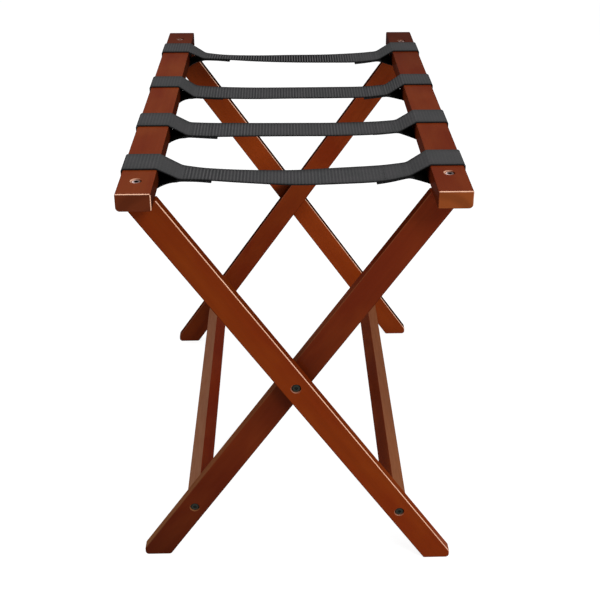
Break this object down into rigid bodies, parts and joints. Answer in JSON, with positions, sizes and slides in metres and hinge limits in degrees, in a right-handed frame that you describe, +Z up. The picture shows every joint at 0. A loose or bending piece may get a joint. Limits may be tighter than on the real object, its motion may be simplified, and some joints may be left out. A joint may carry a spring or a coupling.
{
  "type": "folding luggage rack",
  "caption": "Folding wooden luggage rack with crossed scissor legs, two top rails, lower stretchers and dark webbing straps looped over the rails.",
  "frame": {"origin": "on the floor, at the middle of the bounding box's underside, which is under the pivot axis", "axes": "+X across the rack, from the outer frame's rail to the inner frame's rail; +Y along the rails, towards the back; +Z up"},
  "size_m": [0.3776, 0.61, 0.5102],
  "materials": {
    "stained_wood": "hardwood stained red-brown mahogany under a semi-gloss lacquer",
    "webbing": "charcoal ribbed polypropylene webbing, matt",
    "black_steel": "black oxide steel with a hexagon socket",
    "zinc_steel": "bright zinc plated steel",
    "dowel_wood": "bare beech dowel, glued",
    "nylon": "black nylon washer"
  },
  "bodies": {
    "outer_frame": {"outer_top_rail": "stained_wood", "outer_leg_front": "stained_wood", "outer_leg_back": "stained_wood", "outer_stretcher": "stained_wood", "outer_rail_screw_front": "black_steel", "outer_rail_screw_back": "black_steel", "outer_rail_dowel_front": "dowel_wood", "outer_rail_dowel_back": "dowel_wood", "outer_stretcher_bolt_front": "black_steel", "outer_stretcher_bolt_back": "black_steel", "outer_stretcher_insert_front": "zinc_steel", "outer_stretcher_insert_back": "zinc_steel", "pivot_washer_front": "nylon", "pivot_washer_back": "nylon", "strap_1_left_wrap": "webbing", "strap_2_left_wrap": "webbing", "strap_3_left_wrap": "webbing", "strap_4_left_wrap": "webbing", "strap_1_left_staple": "zinc_steel", "strap_2_left_staple": "zinc_steel", "strap_3_left_staple": "zinc_steel", "strap_4_left_staple": "zinc_steel"},
    "inner_frame": {"inner_top_rail": "stained_wood", "inner_leg_front": "stained_wood", "inner_leg_back": "stained_wood", "inner_stretcher": "stained_wood", "inner_rail_screw_front": "black_steel", "inner_rail_screw_back": "black_steel", "inner_rail_dowel_front": "dowel_wood", "inner_rail_dowel_back": "dowel_wood", "inner_stretcher_bolt_front": "black_steel", "inner_stretcher_bolt_back": "black_steel", "inner_stretcher_insert_front": "zinc_steel", "inner_stretcher_insert_back": "zinc_steel", "pivot_bolt_front": "black_steel", "pivot_bolt_back": "black_steel", "pivot_insert_front": "zinc_steel", "pivot_insert_back": "zinc_steel", "strap_1_right_wrap": "webbing", "strap_2_right_wrap": "webbing", "strap_3_right_wrap": "webbing", "strap_4_right_wrap": "webbing", "strap_1_right_staple": "zinc_steel", "strap_2_right_staple": "zinc_steel", "strap_3_right_staple": "zinc_steel", "strap_4_right_staple": "zinc_steel"},
    "straps_left": {"strap_1_left_span": "webbing", "strap_2_left_span": "webbing", "strap_3_left_span": "webbing", "strap_4_left_span": "webbing"},
    "straps_right": {"strap_1_right_span": "webbing", "strap_2_right_span": "webbing", "strap_3_right_span": "webbing", "strap_4_right_span": "webbing"}
  },
  "joints": [
    {"name": "fold", "type": "hinge", "parent": "outer_frame", "child": "inner_frame", "pos_m": [0, 0, 0.2535], "axis": [0, -1, 0], "range_deg": [0, 55]},
    {"name": "strap_left_bend", "type": "hinge", "parent": "outer_frame", "child": "straps_left", "pos_m": [-0.14525, 0, 0.509], "axis": [0, 1, 0], "range_deg": [0, 51.6], "deforming": ["strap_1_left_span", "strap_2_left_span", "strap_3_left_span", "strap_4_left_span"]},
    {"name": "strap_right_bend", "type": "hinge", "parent": "inner_frame", "child": "straps_right", "pos_m": [0.14525, 0, 0.509], "axis": [0, -1, 0], "range_deg": [0, 51.6], "deforming": ["strap_1_right_span", "strap_2_right_span", "strap_3_right_span", "strap_4_right_span"]}
  ],
  "couplings": [
    {"joint": "strap_left_bend", "follows": "fold", "ratio": 0.935},
    {"joint": "strap_right_bend", "follows": "fold", "ratio": 0.935}
  ]
}
